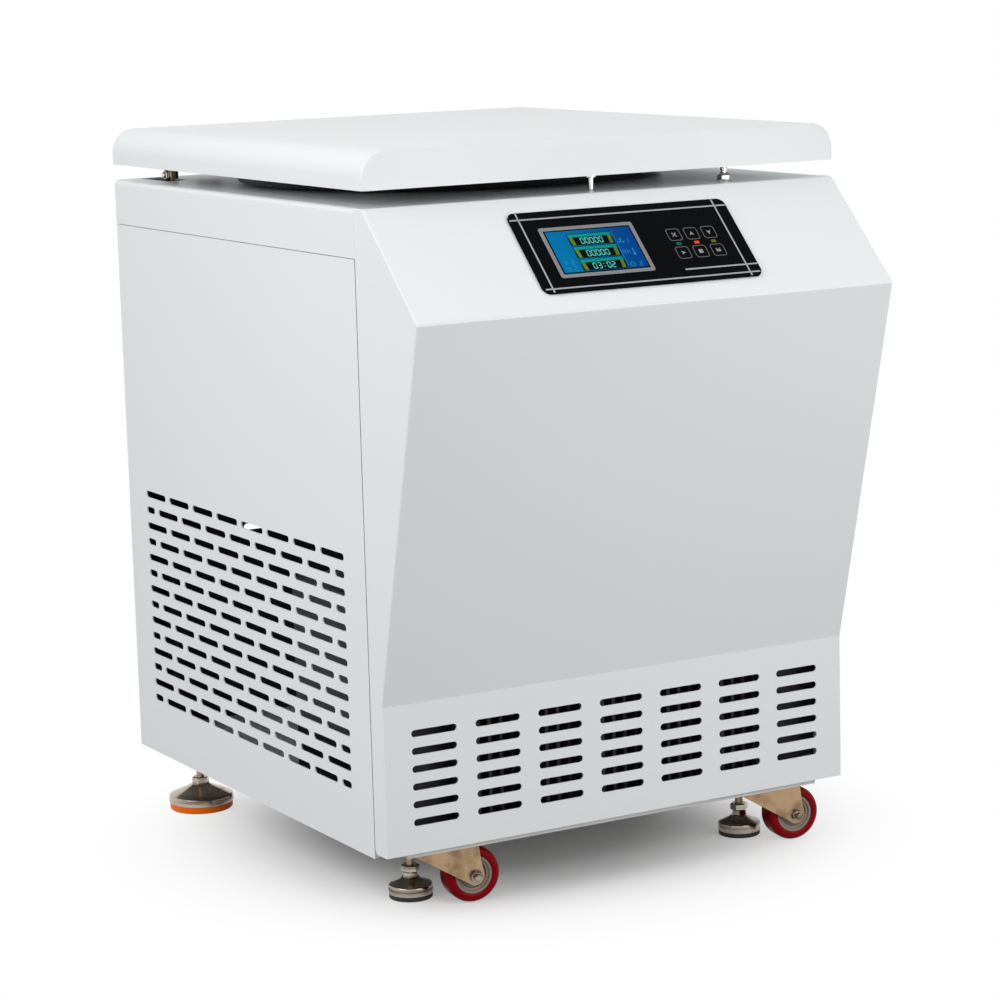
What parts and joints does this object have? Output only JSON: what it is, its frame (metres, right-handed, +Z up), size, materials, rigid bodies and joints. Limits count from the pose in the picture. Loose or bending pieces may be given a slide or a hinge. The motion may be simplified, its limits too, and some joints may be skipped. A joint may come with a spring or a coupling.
{
  "type": "floor-standing refrigerated centrifuge",
  "caption": "Floor-standing refrigerated centrifuge: slotted steel cabinet on casters and levelling feet, hinged lid, sloped control panel, swing-out rotor in a cooled chamber.",
  "frame": {"origin": "on the floor, under the middle of the whole part's bounding box", "axes": "+Z up; the control panel faces -Y; +X is to the right for a person who faces the control panel"},
  "size_m": [0.6, 0.763, 0.836],
  "materials": {
    "white_paint": "gloss",
    "grey_paint": "satin",
    "stainless": "satin",
    "copper": "satin",
    "insulation_foam": "matte",
    "black_rubber": "matte",
    "motor_paint": "satin",
    "cast_aluminium": "satin",
    "bucket_aluminium": "satin",
    "liner_plastic": "satin",
    "chrome_plate": "polished",
    "foot_chrome": "polished",
    "black_plastic": "satin",
    "zinc_plate": "satin",
    "black_steel": "satin",
    "switch_plastic": "gloss",
    "panel_black": "gloss",
    "display_blue": "gloss",
    "key_black": "satin",
    "red_tyre": "satin"
  },
  "bodies": {
    "cabinet": {"base_frame": "grey_paint", "chassis_frame": "grey_paint", "left_side_panel": "white_paint", "right_side_panel": "white_paint", "rear_panel": "white_paint", "front_cover": "white_paint", "top_deck": "white_paint", "chamber_bowl": "stainless", "evaporator_coil": "copper", "chamber_insulation": "insulation_foam", "motor_mount_ring": "black_rubber", "drive_motor": "motor_paint", "lid_lock_housing": "black_plastic", "lid_stop": "chrome_plate", "hinge_shaft": "stainless", "condenser": "cast_aluminium", "fan_shroud": "black_plastic", "compressor": "black_steel", "refrigerant_line": "copper", "control_box": "cast_aluminium", "mains_inlet": "black_plastic", "control_panel": "panel_black", "display_bezel": "panel_black", "display_screen": "display_blue"},
    "lid": {"lid_cover": "white_paint", "lid_inner_plate": "white_paint", "lid_liner": "liner_plastic", "lid_gasket": "black_rubber", "lock_striker": "chrome_plate", "hinge_arm_left": "zinc_plate", "hinge_arm_right": "zinc_plate"},
    "rotor": {"rotor_head": "cast_aluminium", "drive_shaft": "stainless"},
    "bucket_a": {"bucket_1": "bucket_aluminium"},
    "bucket_b": {"bucket_2": "bucket_aluminium"},
    "bucket_c": {"bucket_3": "bucket_aluminium"},
    "bucket_d": {"bucket_4": "bucket_aluminium"},
    "fan": {"condenser_fan": "black_plastic"},
    "bolt": {"lock_bolt": "zinc_plate"},
    "rocker": {"power_rocker": "switch_plastic"},
    "spring_tube_left": {"gas_spring_tube_left": "black_steel"},
    "spring_rod_left": {"gas_spring_rod_left": "chrome_plate"},
    "spring_tube_right": {"gas_spring_tube_right": "black_steel"},
    "spring_rod_right": {"gas_spring_rod_right": "chrome_plate"},
    "fork_left": {"front_left_caster_fork": "zinc_plate"},
    "fork_right": {"front_right_caster_fork": "zinc_plate"},
    "wheel_front_left": {"front_left_wheel": "red_tyre"},
    "wheel_front_right": {"front_right_wheel": "red_tyre"},
    "wheel_rear_left": {"rear_left_wheel": "red_tyre"},
    "wheel_rear_right": {"rear_right_wheel": "red_tyre"},
    "body_key_mode": {"key_mode": "key_black"},
    "body_key_up": {"key_up": "key_black"},
    "body_key_down": {"key_down": "key_black"},
    "body_key_start": {"key_start": "key_black"},
    "body_key_stop": {"key_stop": "key_black"},
    "body_key_enter": {"key_enter": "key_black"},
    "body_front_left_foot": {"front_left_foot": "foot_chrome"},
    "body_front_right_foot": {"front_right_foot": "foot_chrome"},
    "body_rear_left_foot": {"rear_left_foot": "foot_chrome"},
    "body_rear_right_foot": {"rear_right_foot": "foot_chrome"}
  },
  "joints": [
    {"name": "lid_hinge", "type": "hinge", "parent": "cabinet", "child": "lid", "pos_m": [0, 0.352, 0.748], "axis": [-1, 0, 0], "range_deg": [0, 72]},
    {"name": "rotor_spin", "type": "hinge", "parent": "cabinet", "child": "rotor", "pos_m": [0, 0.079, 0.665], "axis": [0, 0, 1], "continuous": true},
    {"name": "bucket_a_swing", "type": "hinge", "parent": "rotor", "child": "bucket_a", "pos_m": [0.105, 0.079, 0.665], "axis": [0, -1, 0], "range_deg": [0, 90]},
    {"name": "bucket_b_swing", "type": "hinge", "parent": "rotor", "child": "bucket_b", "pos_m": [0, 0.184, 0.665], "axis": [1, 0, 0], "range_deg": [0, 90]},
    {"name": "bucket_c_swing", "type": "hinge", "parent": "rotor", "child": "bucket_c", "pos_m": [-0.105, 0.079, 0.665], "axis": [0, 1, 0], "range_deg": [0, 90]},
    {"name": "bucket_d_swing", "type": "hinge", "parent": "rotor", "child": "bucket_d", "pos_m": [0, -0.026, 0.665], "axis": [-1, 0, 0], "range_deg": [0, 90]},
    {"name": "fan_spin", "type": "hinge", "parent": "cabinet", "child": "fan", "pos_m": [0, -0.1985, 0.1653], "axis": [0, -1, 0], "continuous": true},
    {"name": "lock_bolt_slide", "type": "slide", "parent": "cabinet", "child": "bolt", "axis": [-1, 0, 0], "range_m": [0, 0.01]},
    {"name": "power_rocker_tilt", "type": "hinge", "parent": "cabinet", "child": "rocker", "pos_m": [0.19, 0.3745, 0.168], "axis": [-1, 0, 0], "range_deg": [0, 20]},
    {"name": "gas_spring_tube_left_tilt", "type": "hinge", "parent": "cabinet", "child": "spring_tube_left", "pos_m": [-0.2454, 0.31, 0.486], "axis": [-1, 0, 0], "range_deg": [0, 0.7]},
    {"name": "gas_spring_rod_left_slide", "type": "slide", "parent": "spring_tube_left", "child": "spring_rod_left", "axis": [0, 0.0749, 0.9972], "range_m": [0, 0.028]},
    {"name": "caster_left_swivel", "type": "hinge", "parent": "cabinet", "child": "fork_left", "pos_m": [-0.216, -0.222, 0.088], "axis": [0, 0, 1], "range_deg": [-170, 32]},
    {"name": "wheel_front_left_roll", "type": "hinge", "parent": "fork_left", "child": "wheel_front_left", "pos_m": [-0.17243, -0.22812, 0.03175], "axis": [0.1392, 0.9903, 0], "continuous": true},
    {"name": "wheel_rear_left_roll", "type": "hinge", "parent": "cabinet", "child": "wheel_rear_left", "pos_m": [-0.15, 0.306, 0.03175], "axis": [1, 0, 0], "continuous": true},
    {"name": "gas_spring_tube_right_tilt", "type": "hinge", "parent": "cabinet", "child": "spring_tube_right", "pos_m": [0.2454, 0.31, 0.486], "axis": [-1, 0, 0], "range_deg": [0, 0.7]},
    {"name": "gas_spring_rod_right_slide", "type": "slide", "parent": "spring_tube_right", "child": "spring_rod_right", "axis": [0, 0.0749, 0.9972], "range_m": [0, 0.028]},
    {"name": "caster_right_swivel", "type": "hinge", "parent": "cabinet", "child": "fork_right", "pos_m": [0.216, -0.222, 0.088], "axis": [0, 0, 1], "range_deg": [-195, 20]},
    {"name": "wheel_front_right_roll", "type": "hinge", "parent": "fork_right", "child": "wheel_front_right", "pos_m": [0.25957, -0.22812, 0.03175], "axis": [0.1392, 0.9903, 0], "continuous": true},
    {"name": "wheel_rear_right_roll", "type": "hinge", "parent": "cabinet", "child": "wheel_rear_right", "pos_m": [0.15, 0.306, 0.03175], "axis": [1, 0, 0], "continuous": true},
    {"name": "front_left_foot_screw", "type": "slide", "parent": "cabinet", "child": "body_front_left_foot", "axis": [0, 0, 1], "range_m": [-0.01, 0.015]},
    {"name": "front_right_foot_screw", "type": "slide", "parent": "cabinet", "child": "body_front_right_foot", "axis": [0, 0, 1], "range_m": [-0.01, 0.015]},
    {"name": "rear_left_foot_screw", "type": "slide", "parent": "cabinet", "child": "body_rear_left_foot", "axis": [0, 0, 1], "range_m": [-0.01, 0.015]},
    {"name": "rear_right_foot_screw", "type": "slide", "parent": "cabinet", "child": "body_rear_right_foot", "axis": [0, 0, 1], "range_m": [-0.01, 0.015]},
    {"name": "key_mode_press", "type": "slide", "parent": "cabinet", "child": "body_key_mode", "axis": [0, 0.7008, -0.7134], "range_m": [0, 0.0005], "stiffness_N_per_m": 400, "springref_m": -0.0005},
    {"name": "key_up_press", "type": "slide", "parent": "cabinet", "child": "body_key_up", "axis": [0, 0.7008, -0.7134], "range_m": [0, 0.0005], "stiffness_N_per_m": 400, "springref_m": -0.0005},
    {"name": "key_down_press", "type": "slide", "parent": "cabinet", "child": "body_key_down", "axis": [0, 0.7008, -0.7134], "range_m": [0, 0.0005], "stiffness_N_per_m": 400, "springref_m": -0.0005},
    {"name": "key_start_press", "type": "slide", "parent": "cabinet", "child": "body_key_start", "axis": [0, 0.7008, -0.7134], "range_m": [0, 0.0005], "stiffness_N_per_m": 400, "springref_m": -0.0005},
    {"name": "key_stop_press", "type": "slide", "parent": "cabinet", "child": "body_key_stop", "axis": [0, 0.7008, -0.7134], "range_m": [0, 0.0005], "stiffness_N_per_m": 400, "springref_m": -0.0005},
    {"name": "key_enter_press", "type": "slide", "parent": "cabinet", "child": "body_key_enter", "axis": [0, 0.7008, -0.7134], "range_m": [0, 0.0005], "stiffness_N_per_m": 400, "springref_m": -0.0005}
  ],
  "couplings": [
    {"joint": "gas_spring_tube_left_tilt", "follows": "lid_hinge", "ratio": 0.009},
    {"joint": "gas_spring_rod_left_slide", "follows": "lid_hinge", "m_per_rad": 0.0215},
    {"joint": "gas_spring_tube_right_tilt", "follows": "lid_hinge", "ratio": 0.009},
    {"joint": "gas_spring_rod_right_slide", "follows": "lid_hinge", "m_per_rad": 0.0215}
  ]
}
